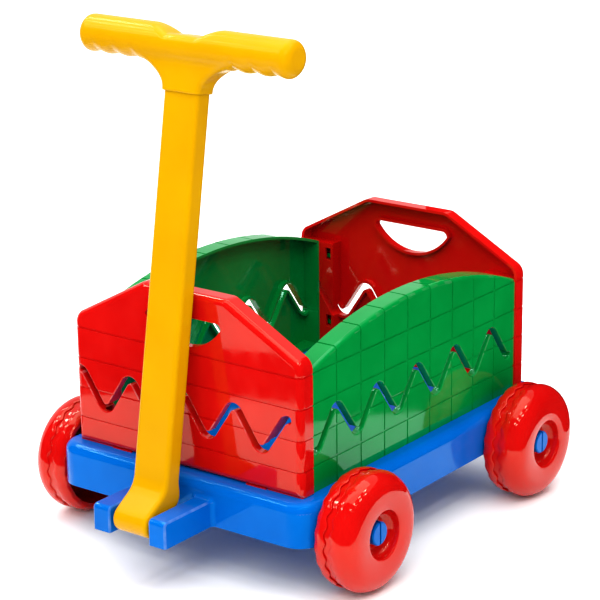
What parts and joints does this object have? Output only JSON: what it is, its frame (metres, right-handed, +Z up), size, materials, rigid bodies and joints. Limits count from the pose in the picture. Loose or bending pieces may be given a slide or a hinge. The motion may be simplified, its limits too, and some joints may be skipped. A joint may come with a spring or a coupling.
{
  "type": "kids pull wagon",
  "caption": "Small plastic pull wagon: an open load box of clip-on panels on a rounded platform, ring-shaped wheels on stub axles and a long hinged T-handle that leans back.",
  "frame": {"origin": "on the ground under the middle of the wagon's overall box, wheels standing on z = 0", "axes": "+X forward towards the handle's hinge, +Y to the wagon's left, +Z up"},
  "size_m": [0.5054, 0.407, 0.5356],
  "materials": {
    "red_plastic": "glossy injection-moulded plastic",
    "green_plastic": "glossy injection-moulded plastic",
    "blue_plastic": "glossy injection-moulded plastic",
    "yellow_plastic": "glossy injection-moulded plastic"
  },
  "bodies": {
    "root": {"base_platform": "blue_plastic", "front_panel": "red_plastic", "rear_panel": "red_plastic", "left_panel": "green_plastic", "right_panel": "green_plastic", "axle_stub_front_left": "blue_plastic", "axle_stub_front_right": "blue_plastic", "axle_stub_rear_left": "blue_plastic", "axle_stub_rear_right": "blue_plastic"},
    "wheel_front_left": {"wheel_outer_front_left": "red_plastic", "wheel_inner_front_left": "red_plastic"},
    "wheel_front_right": {"wheel_outer_front_right": "red_plastic", "wheel_inner_front_right": "red_plastic"},
    "wheel_rear_left": {"wheel_outer_rear_left": "red_plastic", "wheel_inner_rear_left": "red_plastic"},
    "wheel_rear_right": {"wheel_outer_rear_right": "red_plastic", "wheel_inner_rear_right": "red_plastic"},
    "handle": {"handle_stem": "yellow_plastic", "handle_grip": "yellow_plastic"}
  },
  "joints": [
    {"name": "front_left_wheel_spin", "type": "hinge", "parent": "root", "child": "wheel_front_left", "pos_m": [0.1133, 0.18, 0.0605], "axis": [0, 1, 0], "continuous": true},
    {"name": "front_right_wheel_spin", "type": "hinge", "parent": "root", "child": "wheel_front_right", "pos_m": [0.1133, -0.18, 0.0605], "axis": [0, 1, 0], "continuous": true},
    {"name": "rear_left_wheel_spin", "type": "hinge", "parent": "root", "child": "wheel_rear_left", "pos_m": [-0.1847, 0.18, 0.0605], "axis": [0, 1, 0], "continuous": true},
    {"name": "rear_right_wheel_spin", "type": "hinge", "parent": "root", "child": "wheel_rear_right", "pos_m": [-0.1847, -0.18, 0.0605], "axis": [0, 1, 0], "continuous": true},
    {"name": "handle_tilt", "type": "hinge", "parent": "root", "child": "handle", "pos_m": [0.2393, 0, 0.07], "axis": [0, 1, 0], "range_deg": [0, 105]}
  ]
}
